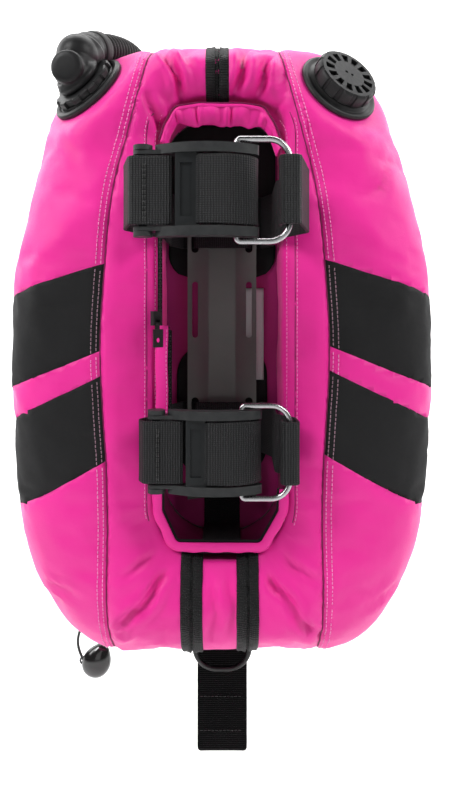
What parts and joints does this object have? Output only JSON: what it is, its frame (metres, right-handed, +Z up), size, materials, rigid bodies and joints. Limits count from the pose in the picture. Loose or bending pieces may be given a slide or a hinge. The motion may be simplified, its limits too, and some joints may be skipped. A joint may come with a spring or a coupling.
{
  "type": "buoyancy compensator",
  "caption": "Back-inflation buoyancy vest: ring-shaped air cell with side bands, cylinder adapter, cam bands with hinged buckles, valves, inflator hose and harness.",
  "frame": {"origin": "front face of the cylinder adapter's middle facet, midway between its two bolts", "axes": "+X to the right seen from the cylinder side, +Y towards the wearer, +Z up"},
  "size_m": [0.378, 0.3651, 0.7295],
  "materials": {
    "coated_nylon": "coated woven nylon, slight sheen",
    "bladder_film": "film-coated nylon",
    "black_fabric": "matte close weave",
    "zip_tape": "woven tape with moulded teeth",
    "elastic": "gathered hem",
    "webbing": "ribbed nylon webbing",
    "anodised_plate": "satin anodised",
    "stainless": "polished and brushed",
    "buckle_plastic": "moulded, fine grain",
    "valve_plastic": "moulded, satin",
    "rubber": "satin",
    "cord": "braided",
    "knob_plastic": "glossy"
  },
  "bodies": {
    "vest": {"front_cover": "coated_nylon", "back_cover": "coated_nylon", "side_panels_left": "coated_nylon", "side_panels_right": "coated_nylon", "centre_panel": "coated_nylon", "bladder": "bladder_film", "side_bands_left": "black_fabric", "side_bands_right": "black_fabric", "centre_patches": "black_fabric", "zip_top": "zip_tape", "zips_bottom": "zip_tape", "inner_zip": "zip_tape", "elastic_hem": "elastic", "centre_strap": "webbing", "upper_band_webbing": "webbing", "lower_band_webbing": "webbing", "shoulder_strap_left": "webbing", "shoulder_strap_right": "webbing", "waist_strap": "webbing", "crotch_strap": "webbing", "tank_adapter": "anodised_plate", "adapter_bolts": "stainless", "adapter_washers": "stainless", "adapter_wing_nuts": "stainless", "backplate": "stainless", "waist_buckle_frame": "stainless", "strap_keepers": "stainless", "shoulder_dump_spring": "stainless", "rear_dump_spring": "stainless", "inflator_nipple": "stainless", "upper_pivot_post": "buckle_plastic", "lower_pivot_post": "buckle_plastic", "elbow_flange": "valve_plastic", "elbow_collar": "valve_plastic", "elbow_body": "valve_plastic", "shoulder_dump_flange": "valve_plastic", "shoulder_dump_cap": "valve_plastic", "rear_dump_flange": "valve_plastic", "rear_dump_cap": "valve_plastic", "inflator_body": "valve_plastic", "inflator_hose": "rubber", "mouthpiece": "rubber", "dump_cord": "cord", "dump_knob": "knob_plastic"},
    "upper_lever": {"upper_buckle_lever": "buckle_plastic", "upper_lever_webbing": "webbing"},
    "lower_lever": {"lower_buckle_lever": "buckle_plastic", "lower_lever_webbing": "webbing"},
    "upper_ring": {"upper_wire_ring": "stainless"},
    "lower_ring": {"lower_wire_ring": "stainless"},
    "zip_slider": {"inner_zip_slider": "stainless"},
    "zip_pull": {"inner_zip_pull": "stainless"},
    "inflate_valve": {"inflate_button": "valve_plastic"},
    "deflate_valve": {"deflate_button": "valve_plastic"},
    "shoulder_valve_disc": {"shoulder_dump_poppet": "rubber"},
    "rear_valve_disc": {"rear_dump_poppet": "rubber"},
    "waist_lever": {"waist_buckle_lever": "stainless"},
    "d_ring_left": {"shoulder_d_ring_left": "stainless"},
    "d_ring_right": {"shoulder_d_ring_right": "stainless"},
    "crotch_ring": {"crotch_d_ring": "stainless"}
  },
  "joints": [
    {"name": "upper_lever_hinge", "type": "hinge", "parent": "vest", "child": "upper_lever", "pos_m": [-0.0555, -0.17, 0.116], "axis": [0, 0, -1], "range_deg": [0, 110]},
    {"name": "lower_lever_hinge", "type": "hinge", "parent": "vest", "child": "lower_lever", "pos_m": [-0.051, -0.12, -0.0815], "axis": [0, 0, -1], "range_deg": [0, 110]},
    {"name": "upper_ring_hinge", "type": "hinge", "parent": "vest", "child": "upper_ring", "pos_m": [0.0505, -0.175, 0.116], "axis": [0, 0, 1], "range_deg": [0, 75]},
    {"name": "lower_ring_hinge", "type": "hinge", "parent": "vest", "child": "lower_ring", "pos_m": [0.055, -0.125, -0.0815], "axis": [0, 0, 1], "range_deg": [0, 75]},
    {"name": "zip_slide", "type": "slide", "parent": "vest", "child": "zip_slider", "axis": [0, 0, 1], "range_m": [-0.05, 0.055]},
    {"name": "zip_pull_hinge", "type": "hinge", "parent": "zip_slider", "child": "zip_pull", "pos_m": [-0.05321, -0.0968, 0.0195], "axis": [-0.7071, -0.7071, 0], "range_deg": [0, 100]},
    {"name": "inflate_press", "type": "slide", "parent": "vest", "child": "inflate_valve", "axis": [0, -1, 0], "range_m": [0, 0.0035], "stiffness_N_per_m": 600, "springref_m": -0.002},
    {"name": "deflate_press", "type": "slide", "parent": "vest", "child": "deflate_valve", "axis": [0, 0, 1], "range_m": [0, 0.0035], "stiffness_N_per_m": 600, "springref_m": -0.002},
    {"name": "shoulder_dump_lift", "type": "slide", "parent": "vest", "child": "shoulder_valve_disc", "axis": [0.4192, -0.7585, 0.499], "range_m": [0, 0.0025], "stiffness_N_per_m": 500, "springref_m": -0.003, "deforming": ["shoulder_dump_spring"]},
    {"name": "rear_dump_lift", "type": "slide", "parent": "vest", "child": "rear_valve_disc", "axis": [0, 1, 0], "range_m": [0, 0.002], "stiffness_N_per_m": 500, "springref_m": -0.003, "deforming": ["rear_dump_spring"]},
    {"name": "waist_lever_hinge", "type": "hinge", "parent": "vest", "child": "waist_lever", "pos_m": [-0.02, 0.17655, -0.11], "axis": [0, 0, 1], "range_deg": [0, 110]},
    {"name": "d_ring_left_hinge", "type": "hinge", "parent": "vest", "child": "d_ring_left", "pos_m": [-0.05464, 0.17156, 0.15], "axis": [0.9848, -0.1736, 0], "range_deg": [0, 150]},
    {"name": "d_ring_right_hinge", "type": "hinge", "parent": "vest", "child": "d_ring_right", "pos_m": [0.05464, 0.17156, 0.15], "axis": [0.9848, 0.1736, 0], "range_deg": [0, 150]},
    {"name": "crotch_ring_hinge", "type": "hinge", "parent": "vest", "child": "crotch_ring", "pos_m": [0, 0.0123, -0.296], "axis": [-1, 0, 0], "range_deg": [0, 80]}
  ]
}
